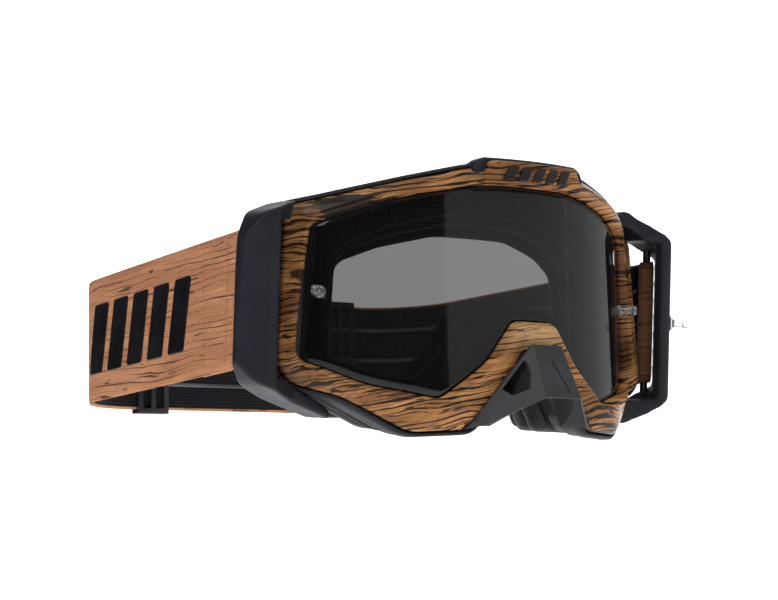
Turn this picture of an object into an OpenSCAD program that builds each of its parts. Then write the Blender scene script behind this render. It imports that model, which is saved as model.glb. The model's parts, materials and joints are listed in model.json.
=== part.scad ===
// Motorcycle goggles: rigid outer frame with outriggers, wood-print bezel, pull-out smoke lens,
// unclipping nose guard, flexible face frame with foam, and an adjustable head strap.
// Millimetres. +Z up, the goggles look towards -Y, +X is the wearer's left.
// The origin is the centre of the face port, on the rear plane of the face foam.

/* [Lens] */
// Radius of the lens's curve, seen from above
lens_r = 102; // [100:1:104]
// Lens thickness, measured front to back
lens_t = 1.6; // [1.4:0.1:1.8]
// Gap between the lens and what holds it
lens_gap = 0.4; // [0.3:0.1:0.5]
// Radius of a tear-off post's neck
post_r = 1.5; // [1.3:0.1:1.7]
// Length of a tear-off post's neck
post_neck = 4.5; // [4:0.5:5]

/* [Frame] */
// How far the bezel's ridge stands in front of the lens
ridge_h = 5; // [4:0.5:6]
// Width of the black rim that shows round the bezel
rim_w = 1.8; // [1.4:0.2:2.2]
// Wall thickness of both frames
wall = 2; // [1.6:0.2:2.4]
// Depth of the rigid outer frame behind the lens
outer_depth = 8; // [7:1:9]
// Depth of the flexible face frame
face_frame_depth = 10; // [9:1:11]
// Radius of the pin in each outrigger that holds the strap
strap_pin_r = 1.6; // [1.4:0.1:1.8]

/* [Foam] */
// Thickness of the foam layer glued to the frame
foam_base_t = 5; // [4:0.5:6]
// Thickness of the soft middle layer
foam_mid_t = 8; // [7:0.5:9]
// Thickness of the fleece that meets the face
fleece_t = 3.4; // [3:0.2:3.8]

/* [Strap] */
// Strap width
strap_w = 50; // [48:1:52]
// Woven web thickness
web_t = 1.4; // [1.2:0.1:1.6]
// Thickness of the inner lining
lining_t = 0.6; // [0.5:0.1:0.8]
// Half the width of the back of the head loop
loop_x = 91; // [90:0.5:93]
// How far the head loop reaches behind the front of the lens
loop_y = 196; // [190:1:200]
// How much lower the strap sits at the back of the head
strap_drop = 6; // [4:1:8]

/* [Hidden] */

black = "#1d1f24";
reach = 150;              // half height of the cutting cylinders
arc_steps = 5;            // flats in one rounded corner
seat_y = lens_t + lens_gap;
outer_back = seat_y + outer_depth;
face_frame_back = outer_back + face_frame_depth;
foam_1 = face_frame_back + foam_base_t;
foam_2 = foam_1 + foam_mid_t;
face_y = foam_2 + fleece_t;

// ---- front-view outlines: [x, z, corner radius], right half, clockwise from the top
lens_half = [[22, 39.3, 90], [50, 34, 90], [76, 24.8, 4], [80.9, -23.5, 6.5], [62, -34, 30],
    [39, -39.4, 6], [21, -26, 30], [9.5, -10.2, 5]];
bezel_half = [[24, 46.2, 70], [50, 40.2, 90], [85.6, 31.4, 7], [89.6, -30.4, 9], [69.5, -38.4, 25],
    [50.5, -51.8, 12], [28, -51, 7], [13, -31.5, 20], [6.5, -21, 5]];
port_half = [[18, 26.5, 25], [40, 21.5, 25], [56, 15, 8], [58.5, -23, 9], [48, -31, 12],
    [36, -33, 7], [23, -22, 12], [11, -5, 8]];
foam_half = [[24, 44.4, 70], [50, 38.4, 90], [82, 28.8, 8], [87.2, -29, 8],
    [68.6, -37, 25], [49, -50, 12], [20, -50.2, 6], [12, -36, 20], [6, -18, 6]];
brow_half = [[22.3, 49.6, 3], [30.5, 46, 5], [24.6, 40, 1]];
brow_block_half = [[20.8, 48.2, 1], [24.6, 40, 1]];
outrigger_edge = [[60, 39.6, 1], [88, 32.6, 20], [100, 28.4, 8], [105.6, 20, 12],
    [108, -24.5, 12], [101.5, -33.4, 10], [88, -38.6, 20], [60, -47.5, 1]];
// The left outrigger has taller arms than the right one
tall_edge = [[60, 35, 1], [71, 37, 3], [78, 43, 5], [90, 36.6, 12], [99.5, 31, 8],
    [105.5, 24, 8], [108, 12, 12], [108, -23, 12], [101, -34, 10], [90, -41, 12],
    [79.5, -45.6, 5], [72, -41, 3], [60, -41, 1]];
outrigger_lean = 4.5;     // degrees, top towards the front
slot_edge = [[70, 27, 2], [103, 25.5, 4], [103, -30.5, 4], [70, -32.5, 2]];
tall_slot = [[70, 31, 2], [93, 30.3, 5], [103, 23.8, 3], [103, -28.6, 3], [93, -35, 5],
    [70, -36, 2]];
// ---- outlines seen from above: [x, y, corner radius]
outrigger_plan = [[66, 34, 1], [84, 33, 1], [95.5, 27, 1], [99, 27.4, 2], [107.3, 36, 1.5],
    [106, 39.6, 1.5], [97, 46, 2], [86, 50, 1], [66, 50, 1]];
slot_plan = [[70, -10, 1], [94, -10, 1], [94, 31.5, 1], [102.4, 40, 0.5], [108, 60, 1],
    [108, 80, 1], [70, 80, 1]];
strap_pin = [98.5, 41.5];
strap_pin_span = [-31.9, 26.8];
tall_pin_span = [-33.4, 28.6];
eye_r = strap_pin_r + 1.6;
loop_front = 10;          // the loop is drawn on past the pins and cut off at them
loop_front_x = loop_x + (strap_pin.x + eye_r - loop_x) * (loop_y - loop_front)
    / (loop_y - strap_pin.y);
strap_loop = [[-loop_front_x, loop_front, 0.4], [-loop_x, loop_y, 34], [loop_x, loop_y, 34],
    [loop_front_x, loop_front, 0.4]];
strap_mid = -2.7;         // height of the strap's middle at the outriggers
function strap_z(y) = strap_mid - strap_drop * (y - strap_pin.y) / (loop_y - strap_pin.y);

function mirrored(half) =
    concat(half, [for (i = [len(half) - 1 : -1 : 0]) [-half[i].x, half[i].y, half[i].z]]);
function unit(v) = v / norm(v);
function flat2(p) = [p.x, p.y];
function left_of(v) = [-v.y, v.x];
function at(list, i) = list[(i + len(list)) % len(list)];
function cross2(a, b) = a.x * b.y - a.y * b.x;

// A corner becomes an arc of its own radius
function corner(p, a, b, r) =
    let (u = unit(a - p), v = unit(b - p), half = acos(u * v) / 2,
        c = p + unit(u + v) * r / sin(half),
        s = p + u * r / tan(half) - c, e = p + v * r / tan(half) - c,
        from = atan2(s.y, s.x), turn = (atan2(e.y, e.x) - from + 540) % 360 - 180)
    [for (i = [0 : arc_steps]) c + r * [cos(from + turn * i / arc_steps),
        sin(from + turn * i / arc_steps)]];
function rounded(pts) = [for (i = [0 : len(pts) - 1])
    each corner(flat2(pts[i]), flat2(at(pts, i - 1)), flat2(at(pts, i + 1)), pts[i].z)];

// The same outline, d outside a clockwise one, with its corner radii kept concentric
function grown(pts, d) = [for (i = [0 : len(pts) - 1])
    let (p = flat2(pts[i]), a = unit(p - flat2(at(pts, i - 1))),
        b = unit(flat2(at(pts, i + 1)) - p), n = left_of(a), m = left_of(b),
        q = p + (n + m) / (1 + n * m) * d, r = pts[i].z + (cross2(a, b) < 0 ? d : -d))
    [q.x, q.y, max(0.2, r)]];
function inset_loop(d) = grown(strap_loop, d);

lens_edge = mirrored(lens_half);
bezel_edge = mirrored(bezel_half);
port_edge = mirrored(port_half);
foam_edge = mirrored(foam_half);
brow_edge = mirrored(brow_half);
brow_block_edge = mirrored(brow_block_half);
rim_edge = grown(bezel_edge, rim_w);
wall_edge = grown(bezel_edge, rim_w - 1);
flange_edge = bezel_edge;
face_frame_edge = grown(bezel_edge, -1.2);

function lens_y(x) = lens_r - sqrt(lens_r * lens_r - x * x);

// Moves the model from the front of the lens to the face port
module place() translate([0, -face_y, 0]) children();

module both_sides() {
    children();
    mirror([1, 0, 0]) children();
}

// A front-view outline pushed through the whole depth of the goggles
module slab(pts) translate([0, reach, 0]) rotate([90, 0, 0])
    linear_extrude(2 * reach) polygon(rounded(pts));

// An outline seen from above, pulled up through the whole height
module prism(pts) translate([0, 0, -reach / 2]) linear_extrude(reach) polygon(rounded(pts));

module curve_at(y) translate([0, lens_r + y, -reach]) cylinder(r = lens_r, h = 2 * reach, $fn = 96);

// What lies between the lens's curve moved back by y0 and by y1
module between(y0, y1) difference() {
    curve_at(y0);
    curve_at(y1);
}

// The frames follow the lens's curve, then run straight out sideways past the lens's ends
side_y = 39.2;
module behind(y) {
    curve_at(y);
    translate([-reach, side_y + y, -reach]) cube([2 * reach, reach, 2 * reach]);
}
module frame_between(y0, y1) difference() {
    behind(y0);
    behind(y1);
}

module layer(outer, y0, y1) intersection() {
    frame_between(y0, y1);
    slab(outer);
}

// ---- rigid outer frame: a rim round the bezel, a ledge behind the lens and a short wall
tab_places = [[30, 35.2, 11], [-30, 35.2, -11], [75.9, 0, 84], [-75.9, 0, -84], [58, -32.7, -18],
    [-58, -32.7, 18]];
tab_size = [6, 2];
peg_place = [26, -47.2];
peg_r = 1.6;
ledge = 4;

module tab_shape(gap, y0, y1) intersection() {
    between(y0, y1);
    for (t = tab_places) translate([t.x, 0, t.y]) rotate([0, t.z, 0])
        translate([-tab_size.x / 2 - gap, -20, -tab_size.y / 2 - gap])
            cube([tab_size.x + 2 * gap, 120, tab_size.y + 2 * gap]);
}

module peg_shape(r, y0, y1) both_sides() translate([peg_place.x, y0, peg_place.y])
    rotate([-90, 0, 0]) cylinder(r = r, h = y1 - y0, $fn = 48);

// The guard's wings lie in a recess in the bezel and the frame
recess_floor = 0.8;       // how far the recess under the guard goes behind the lens's front
recess_gap = 0.6;
recess_half = [[8.5, -22, 0.2], [29.6, -50, 0.2], [32.4, -51.4, 0.2], [26, -53, 0.2],
    [8.5, -46, 0.2]];
module guard_recess() both_sides() difference() {
    slab(grown(recess_half, recess_gap));
    curve_at(recess_floor);
}
module ledge_ring() difference() {
    layer(rim_edge, seat_y, seat_y + wall);
    slab(grown(lens_edge, -ledge));
}
module rim_ring() difference() {
    layer(rim_edge, -1.6, seat_y);
    slab(bezel_edge);
    slab(brow_block_edge);
    both_sides() translate([83, -50, -reach]) cube([50, 2 * reach, 2 * reach]);
}
module wall_ring() difference() {
    layer(wall_edge, seat_y + wall, outer_back);
    slab(grown(wall_edge, -wall));
}
module brow_rim() difference() {
    layer(brow_edge, -4.4, seat_y);
    slab(bezel_edge);
    slab(brow_block_edge);
}
module outer_frame() color(black) place() difference() {
    union() {
        rim_ring();
        ledge_ring();
        wall_ring();
        brow_rim();
    }
    tab_shape(0.4, 1, outer_back);
    peg_shape(peg_r + 0.3, -5, 30);
    guard_recess();
}

// ---- outriggers: a C-shaped wing on each side, with a slot and a pin for the strap
module leaning() translate([0, strap_pin.y, strap_mid]) rotate([outrigger_lean, 0, 0])
    translate([0, -strap_pin.y, -strap_mid]) children();
module outrigger(edge, slot) color(black) place() difference() {
    leaning() intersection() {
        prism(outrigger_plan);
        slab(edge);
    }
    slab(rim_edge);
    leaning() intersection() {
        slab(slot);
        prism(slot_plan);
    }
}
module outrigger_left() outrigger(tall_edge, tall_slot);
module outrigger_right() mirror([1, 0, 0]) outrigger(outrigger_edge, slot_edge);

module strap_pin_shape(span) color("silver") place() leaning()
    translate([strap_pin.x, strap_pin.y, span[0]])
        cylinder(r = strap_pin_r, h = span[1] - span[0], $fn = 48);
module strap_pin_left() strap_pin_shape(tall_pin_span);
module strap_pin_right() mirror([1, 0, 0]) strap_pin_shape(strap_pin_span);

// ---- bezel: a raised ridge follows the lens, and the face falls back to the outer edge
face_h = 3;
module bezel() color("#b9763a") place() difference() {
    union() {
        layer(bezel_edge, -face_h, seat_y);
        intersection() {
            layer(bezel_edge, -ridge_h, -face_h);
            slab(grown(lens_edge, 3.2));
        }
        layer(brow_block_edge, -5.6, -face_h);
    }
    slab(grown(lens_edge, lens_gap));
    peg_shape(peg_r + 0.3, -5, 30);
    guard_recess();
}

// ---- plain slanted bars on the brow
bar_count = 5;
bar_pitch = 6.4;
module brow_badge() color(black) place() intersection() {
    between(-6.6, -5.6);
    for (i = [0 : bar_count - 1]) slab(slanted_bar((i - (bar_count - 1) / 2) * bar_pitch,
        41, 46.3, 4.2, 1.6));
}
// A bar from height z0 to z1, w wide, leaning by lean at its top, with cut corners
function slanted_bar(x, z0, z1, w, lean) = [[x - w / 2 + lean, z1, 0.3],
    [x + w / 2 + lean, z1, 0.3], [x + w / 2 - lean, z0, 0.3], [x - w / 2 - lean, z0, 0.3]];

// ---- flexible face frame: a flange against the outer frame, and vents above and below
flange_depth = 1.5;
vent_xs = [10, 32, 54];
vent_w = 15;
module vent_windows(z0, z1) intersection() {
    frame_between(outer_back + 2, face_frame_back - wall - 1);
    both_sides() for (x = vent_xs) translate([x - vent_w / 2, -reach / 2, z0])
        cube([vent_w, 2 * reach, z1 - z0]);
}
port_flare = [8, 5.5, 2.5, -1.5]; // how much wider the port is in the frame and in each layer
module face_frame() color("#23252a") place() difference() {
    union() {
        layer(flange_edge, outer_back, outer_back + flange_depth);
        layer(face_frame_edge, outer_back, face_frame_back);
    }
    difference() {
        slab(grown(face_frame_edge, -wall));
        frame_between(face_frame_back - wall, face_frame_back + 60);
    }
    slab(grown(port_edge, port_flare[0]));
    vent_windows(5, 60);
    vent_windows(-60, -25);
}
module vent_strip(z0, z1) difference() {
    intersection() {
        slab(face_frame_edge);
        vent_windows(z0, z1);
    }
    slab(grown(face_frame_edge, -wall));
}
module top_vent_foam() color("#2b2c30") place() vent_strip(5, 60);
module lower_vent_foam() color("#2b2c30") place() vent_strip(-60, -25);

// ---- lens
module lens() color([0.12, 0.12, 0.13, 0.7]) place() intersection() {
    between(0, lens_t);
    slab(lens_edge);
}
module lens_tabs() color("#101012") place() tab_shape(0, lens_t, outer_back - 2);

post_x = 74;
flange_t = 1.2;
head_t = 1.8;
module post_profile() {
    cylinder(r = post_r + 0.9, h = flange_t, $fn = 48);
    cylinder(r = post_r, h = flange_t + post_neck + 0.5, $fn = 48);
    translate([0, 0, flange_t + post_neck]) cylinder(r = post_r + 0.4, h = head_t, $fn = 48);
}
module lens_post() color([0.9, 0.9, 0.92, 0.5]) place() difference() {
    translate([post_x, lens_y(post_x) , 0]) rotate([90, 0, 0])
        rotate([0, asin(post_x / lens_r), 0]) translate([0, 0, -0.6]) {
            cylinder(r = post_r + 0.9, h = 1, $fn = 48);
            translate([0, 0, 0.8]) post_profile();
        }
    curve_at(0);
}
module tear_off_post_left() lens_post();
module tear_off_post_right() mirror([1, 0, 0]) lens_post();

// A post on the wearer's left outrigger takes the pull tab of the tear-off films
tab_post = [103.15, 31.6, -3];
tab_post_turn = 46.7;
module pull_tab_post() color([0.9, 0.9, 0.92, 0.5]) place() leaning()
    translate(tab_post) rotate([90, 0, 0]) rotate([0, tab_post_turn, 0])
        translate([0, 0, 0.02]) post_profile();

// ---- nose guard: a folded sheet that stands on its point
guard_t = 1.8;
guard_front = [[6.9, -8.6, -20], [8.5, -17, -40], [29.6, 2.4, -50], [32.4, 3.8, -51.4],
    [24.6, -2.4, -49.4], [16.6, -9.6, -44.6]];
guard_points = concat(guard_front, [for (p = guard_front) [-p.x, p.y, p.z]]);
module nose_guard() color("#2a2c31") place() {
    n = len(guard_points);
    half = n / 2;
    rim = [0, 6, 8, 9, 10, 11, 7, 1, 5, 4, 3, 2];
    front = [[0, 6, 7], [0, 7, 1], [0, 1, 5], [0, 5, 4], [0, 4, 2], [2, 4, 3],
        [7, 6, 11], [11, 6, 10], [10, 6, 8], [10, 8, 9]];
    back_points = [for (p = guard_points) p + [0, guard_t, 0]];
    polyhedron(points = concat(guard_points, back_points), faces = concat(
        front,
        [for (f = front) [f[2] + n, f[1] + n, f[0] + n]],
        [for (i = [0 : len(rim) - 1]) let (a = rim[i], b = rim[(i + 1) % len(rim)])
            [a, a + n, b + n, b]]));
}
module guard_pegs() color("#2a2c31") place() peg_shape(peg_r, 0, 9);

// ---- face foam: base layer, middle layer and fleece
foam_inset = [0.6, 1.6, 3];
module foam_layer(y0, y1, i) difference() {
    layer(grown(foam_edge, -foam_inset[i]), y0, y1);
    slab(grown(port_edge, port_flare[i + 1]));
}
module foam_base() color("#202124") place() foam_layer(face_frame_back, foam_1, 0);
module foam_middle() color("#2c2d30") place() foam_layer(foam_1, foam_2, 1);
module face_fleece() color("#18181a") place() foam_layer(foam_2, face_y, 2);

// ---- strap: one loop seen from above, lower at the back of the head than at the outriggers
module strap_band(z0, z1) rotate([90, 0, 90]) translate([0, 0, -reach]) linear_extrude(2 * reach)
    polygon([[0, strap_z(0) + z1], [2 * reach, strap_z(2 * reach) + z1],
        [2 * reach, strap_z(2 * reach) + z0], [0, strap_z(0) + z0]]);
module in_front(y) leaning() translate([-reach, -reach, -reach])
    cube([2 * reach, y + reach, 2 * reach]);
module strap_ring(d0, d1, z0, z1, y_from) intersection() {
    difference() {
        prism(inset_loop(d0));
        prism(inset_loop(d1));
        in_front(y_from);
    }
    strap_band(z0, z1);
}
module strap_eye() intersection() {
    leaning() difference() {
        translate([strap_pin.x, strap_pin.y, -reach]) cylinder(r = eye_r, h = 2 * reach, $fn = 48);
        translate([strap_pin.x, strap_pin.y, -reach])
            cylinder(r = strap_pin_r + pin_gap, h = 2 * reach, $fn = 48);
    }
    strap_band(-strap_w / 2, strap_w / 2);
}
pin_gap = 0.2;
web_from = 43;
module strap_web() color("#a9683a") place() {
    strap_ring(0, -web_t, -strap_w / 2, strap_w / 2, web_from);
    both_sides() strap_eye();
}

// The ends fold inwards round the pins, and the lining steps up and covers them
end_from = 45;
end_to = 75;
cover_from = 45.6;
lining_from = 76;
lining_margin = 1;
module lining_part(d0, d1, y0, y1) intersection() {
    strap_ring(d0, d1, -strap_w / 2 + lining_margin, strap_w / 2 - lining_margin, y0);
    in_front(y1);
}
module strap_lining() color("#1b1b1f") place() {
    lining_part(-web_t, -web_t - lining_t, lining_from, 2 * reach);
    lining_part(-web_t, -2 * web_t - lining_t, lining_from, lining_from + 1);
    lining_part(-2 * web_t, -2 * web_t - lining_t, cover_from, lining_from + 1);
}
module strap_end() color("#a9683a") place() intersection() {
    strap_ring(-web_t, -2 * web_t, -strap_w / 2, strap_w / 2, end_from);
    in_front(end_to);
    translate([0, -reach, -reach]) cube(3 * reach);
}
module strap_end_left() strap_end();
module strap_end_right() mirror([1, 0, 0]) strap_end();

bead_zs = [-14, 0, 14];
bead_w = 1.6;
bead_h = 0.5;
bead_from = lining_from + 4;
module bead_ring(depth, z, y_from) strap_ring(depth, depth - bead_h, z - bead_w / 2, z + bead_w / 2,
    y_from);
module grip_beads() color("#4a4c50") place() for (z = bead_zs) {
    bead_ring(-web_t - lining_t, z, bead_from);
    intersection() {
        bead_ring(-2 * web_t - lining_t, z, cover_from + 0.4);
        in_front(lining_from);
    }
}

// Plain slanted bars in raised gloss rubber on both sides of the strap
print_ys = [90, 108, 126, 144, 162];
print_t = 0.4;
print_half = [6.5, 14];   // half the length and half the height of a bar
print_lean = 3.5;
module strap_print() color("#0c0d10") place() intersection() {
    strap_ring(print_t, 0, -strap_w / 2, strap_w / 2, web_from);
    rotate([90, 0, 90]) translate([0, 0, -reach]) linear_extrude(2 * reach)
        for (y = print_ys) translate([y, strap_z(y)]) polygon([
            [-print_half.x - print_lean, print_half.y], [print_half.x - print_lean, print_half.y],
            [print_half.x + print_lean, -print_half.y],
            [-print_half.x + print_lean, -print_half.y]]);
}

stitch_ys = [52, 70];
stitch_pitch = 3.5;
stitch_size = [0.8, 2.4];
stitch_t = 0.25;
module strap_stitching() color("#3a2a1e") place() intersection() {
    strap_ring(stitch_t, 0, -strap_w / 2, strap_w / 2, web_from);
    for (y = stitch_ys, i = [-6 : 6])
        translate([-reach, y, strap_z(y) + i * stitch_pitch - stitch_size.y / 2])
            cube([2 * reach, stitch_size.x, stitch_size.y]);
}

// ---- strap adjusters: three-bar slides on the straight back of the loop
adjuster_x = 50;
adjuster_w = 15;
adjuster_gap = 0.5;
adjuster_wall = 1.3;
window_w = 3.8;
window_xs = [2.4, adjuster_w - 2.4 - window_w];
module adjuster_shape() color(black) place() {
    h = strap_w + 2 * adjuster_gap;
    inner_t = web_t + lining_t + bead_h + 2 * adjuster_gap;
    translate([adjuster_x - adjuster_w / 2, loop_y + adjuster_gap - inner_t,
        strap_z(loop_y) - h / 2]) difference() {
            translate([0, -adjuster_wall, -adjuster_wall])
                cube([adjuster_w, inner_t + 2 * adjuster_wall, h + 2 * adjuster_wall]);
            translate([-1, 0, 0]) cube([adjuster_w + 2, inner_t, h]);
            for (x = window_xs) translate([x, -reach, 1])
                cube([window_w, 2 * reach, h - 2]);
    }
}
module adjuster_left() adjuster_shape();
module adjuster_right() mirror([1, 0, 0]) adjuster_shape();

outer_frame();
outrigger_left();
outrigger_right();
strap_pin_left();
strap_pin_right();
bezel();
brow_badge();
face_frame();
lens();
lens_tabs();
tear_off_post_left();
tear_off_post_right();
pull_tab_post();
nose_guard();
guard_pegs();
top_vent_foam();
lower_vent_foam();
foam_base();
foam_middle();
face_fleece();
strap_web();
strap_lining();
strap_end_left();
strap_end_right();
grip_beads();
strap_print();
strap_stitching();
adjuster_left();
adjuster_right();
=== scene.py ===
import bpy, bmesh, json, math
import numpy as np
from mathutils import Matrix, Vector

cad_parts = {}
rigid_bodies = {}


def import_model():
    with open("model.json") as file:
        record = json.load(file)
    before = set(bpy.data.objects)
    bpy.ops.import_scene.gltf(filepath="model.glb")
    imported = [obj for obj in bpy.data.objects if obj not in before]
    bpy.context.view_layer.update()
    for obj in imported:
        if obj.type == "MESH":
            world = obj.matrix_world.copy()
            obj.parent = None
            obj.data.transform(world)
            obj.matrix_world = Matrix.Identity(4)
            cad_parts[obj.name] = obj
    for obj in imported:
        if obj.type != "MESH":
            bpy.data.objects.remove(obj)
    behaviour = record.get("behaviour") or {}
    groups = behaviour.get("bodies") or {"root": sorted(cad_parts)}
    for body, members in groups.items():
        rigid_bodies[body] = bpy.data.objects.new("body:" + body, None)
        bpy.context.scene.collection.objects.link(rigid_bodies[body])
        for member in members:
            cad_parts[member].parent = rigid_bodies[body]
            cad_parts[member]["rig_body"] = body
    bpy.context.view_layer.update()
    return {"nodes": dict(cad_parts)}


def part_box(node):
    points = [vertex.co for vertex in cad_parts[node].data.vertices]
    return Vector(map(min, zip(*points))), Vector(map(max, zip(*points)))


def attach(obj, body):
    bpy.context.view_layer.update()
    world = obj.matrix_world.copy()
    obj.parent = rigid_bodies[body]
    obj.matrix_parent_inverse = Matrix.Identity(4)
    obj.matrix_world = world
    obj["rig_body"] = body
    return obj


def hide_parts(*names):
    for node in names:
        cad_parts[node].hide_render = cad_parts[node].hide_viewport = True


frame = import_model()

MM = 0.001
FACE_Y = -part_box("lens")[0].y / MM        # from the lens's front to the face port, mm
R = 102.0                                 # the lens's radius, seen from above
LENS_THICK = 1.6
SIDE_Y = 39.2                             # the frames run straight out sideways from here
STRAP_MID, STRAP_DROP = -2.7, 6.0         # height of the strap's middle, and its drop to the back
LOOP_X, LOOP_Y, LOOP_CORNER = 91.0, 196.0, 34
PIN = (98.5, 41.5)                        # the strap pin, seen from above
LEAN = math.radians(4.5)                  # the outriggers' tops lean forwards
FOLD_END, FOLD_BLEND = 74.5, 3.5          # where the lining steps off the folded strap end
LEAN_END, LEAN_BLEND = 76, 28             # where the strap has turned upright, and over what length
FLAP_END = 75                             # how far back the folded end reaches

# Front-view corners of the right half, clockwise from the top: x, z, corner radius in mm
LENS = [(22, 39.3, 90), (50, 34, 90), (76, 24.8, 4), (80.9, -23.5, 6.5), (62, -34, 30),
        (39, -39.4, 6), (21, -26, 30), (9.5, -10.2, 5)]
BEZEL = [(24, 46.2, 70), (50, 40.2, 90), (85.6, 31.4, 7), (89.6, -30.4, 9), (69.5, -38.4, 25),
         (50.5, -51.8, 12), (28, -51, 7), (13, -31.5, 20), (6.5, -21, 5)]
PORT = [(18, 26.5, 25), (40, 21.5, 25), (56, 15, 8), (58.5, -23, 9), (48, -31, 12),
        (36, -33, 7), (23, -22, 12), (11, -5, 8)]
FOAM = [(24, 44.4, 70), (50, 38.4, 90), (82, 28.8, 8), (87.2, -29, 8), (68.6, -37, 25),
        (49, -50, 12), (20, -50.2, 6), (12, -36, 20), (6, -18, 6)]
BROW = [(22.3, 49.6, 3), (30.5, 46, 5), (24.6, 40, 1)]

# Samples on each corner's arc and on each straight, so that outlines match point for point
NINE = ([6, 6, 10, 10, 6, 8, 8, 6, 8], [6, 5, 8, 16, 6, 5, 5, 6, 8, 5])
EIGHT = ([6, 6, 10, 10, 6, 21, 6, 8], [6, 5, 8, 16, 6, 5, 6, 8, 5])
# Samples along the strap's loop: each side, each bend and the back
SIDE_STEPS, BEND_STEPS, BACK_STEPS = 46, 22, 40


# ------------------------------------------------------------------ outlines and surfaces
def at_mm(x, y, z):
    """A point given in mm from the front of the lens."""
    return Vector((x * MM, (y - FACE_Y) * MM, z * MM))


def unit(v):
    return v / np.linalg.norm(v)


def pushed_out(points, radii, d, least):
    """Corners d outside a closed, clockwise outline, with concentric radii; one per radius."""
    out = []
    for i, r in enumerate(radii):
        p, q, s = points[i - 1], points[i], points[(i + 1) % len(points)]
        a, b = unit(q - p), unit(s - q)
        n, m = np.array((-a[1], a[0])), np.array((-b[1], b[0]))
        w = q + (n + m) / (1 + n @ m) * d
        convex = a[0] * b[1] - a[1] * b[0] < 0
        out.append((w[0], w[1], max(least, r + (d if convex else -d))))
    return out


def grown(corners, d):
    """The same half outline, d outside it."""
    full = [np.array(c[:2], float) for c in corners]
    full += [p * (-1, 1) for p in full[::-1]]
    return pushed_out(full, [c[2] for c in corners], d, 0.3)


def arc(p, a, b, r, n):
    """n points on the arc of radius r that rounds corner p between directions a and b."""
    u, v = unit(a - p), unit(b - p)
    half = math.acos(max(-1, min(1, u @ v))) / 2
    c = p + unit(u + v) * r / math.sin(half)
    s, e = p + u * r / math.tan(half) - c, p + v * r / math.tan(half) - c
    t0 = math.atan2(s[1], s[0])
    turn = (math.atan2(e[1], e[0]) - t0 + 3 * math.pi) % (2 * math.pi) - math.pi
    return [c + r * np.array((math.cos(t0 + turn * i / (n - 1)), math.sin(t0 + turn * i / (n - 1))))
            for i in range(n)]


def outline(corners, counts, d=0.0):
    """A closed front-view outline, mirrored, as an array of x, z in mm."""
    arcs, straights = counts
    pts = grown(corners, d) if d else corners
    flat = [np.array(c[:2], float) for c in pts]
    full = [flat[0] * (-1, 1)] + flat + [flat[-1] * (-1, 1)]
    half = [np.array((0, flat[0][1]))]
    for i, n in enumerate(arcs):
        bend = arc(full[i + 1], full[i], full[i + 2], pts[i][2], n)
        half += [half[-1] + (bend[0] - half[-1]) * k / (straights[i] + 1)
                 for k in range(1, straights[i] + 1)]
        half += bend
    end, start = np.array((0, flat[-1][1])), half[-1]
    half += [start + (end - start) * k / (straights[-1] + 1) for k in range(1, straights[-1] + 2)]
    half = np.array(half)
    return np.vstack([half, half[-2:0:-1] * (-1, 1)])


def lens_y(x):
    return R - math.sqrt(R * R - min(abs(x), R - 2) ** 2)


def curve_y(x, soft=3.0):
    """The lens's curve, which eases into a flat at each side."""
    y = lens_y(x)
    h = max(soft - abs(y - SIDE_Y), 0) / soft
    return min(y, SIDE_Y) - h * h * soft / 4


def ring(line, depth, base=curve_y):
    """An outline laid on the curve, depth mm behind it; depth is a number or one per point."""
    depth = np.broadcast_to(depth, len(line))
    return [(x, base(x) + d, z) for (x, z), d in zip(line, depth)]


def mixed(a, b, t):
    return a * (1 - t) + b * t


# ------------------------------------------------------------------ mesh pieces
def flow_of(p):
    """Grain coordinates in mm: along the curve, up, and from front to back."""
    x = max(-R + 1, min(R - 1, p[0]))
    return (R * math.asin(x / R) + (p[0] - x), p[2], p[1])


def mesh_piece(name, verts, faces, body, material, replaces=(), flow=None, smooth=True):
    """A piece from points in mm from the front of the lens."""
    mesh = bpy.data.meshes.new(name)
    mesh.from_pydata([at_mm(*v) for v in verts], [], faces)
    mesh.validate()
    flow = [flow_of(v) for v in verts] if flow is None else flow
    layer = mesh.attributes.new("flow", "FLOAT_VECTOR", "POINT")
    layer.data.foreach_set("vector", np.array(flow, np.float32).ravel() * MM)
    mesh.materials.append(material)
    obj = bpy.data.objects.new(name, mesh)
    bpy.context.scene.collection.objects.link(obj)
    if smooth:
        mesh.shade_smooth()
    outward(obj)
    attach(obj, body)
    if replaces:
        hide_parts(*replaces)
    return obj


def outward(obj):
    bm = bmesh.new()
    bm.from_mesh(obj.data)
    bmesh.ops.recalc_face_normals(bm, faces=bm.faces)
    bm.to_mesh(obj.data)
    bm.free()


def tube(rings, closed_section=True):
    """Quads between closed rings of equal length; the last joins the first."""
    n, k = len(rings[0]), len(rings)
    faces = []
    for i in range(k if closed_section else k - 1):
        j = (i + 1) % k
        faces += [(i * n + a, i * n + (a + 1) % n, j * n + (a + 1) % n, j * n + a)
                  for a in range(n)]
    return [p for r in rings for p in r], faces


def apply_modifiers(obj):
    dg = bpy.context.evaluated_depsgraph_get()
    mesh = bpy.data.meshes.new_from_object(obj.evaluated_get(dg))
    obj.modifiers.clear()
    obj.data = mesh


def modifier(obj, kind, **settings):
    m = obj.modifiers.new(kind.lower(), kind)
    for k, v in settings.items():
        setattr(m, k, v)
    return m


MOST_FACES = 90000


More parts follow.
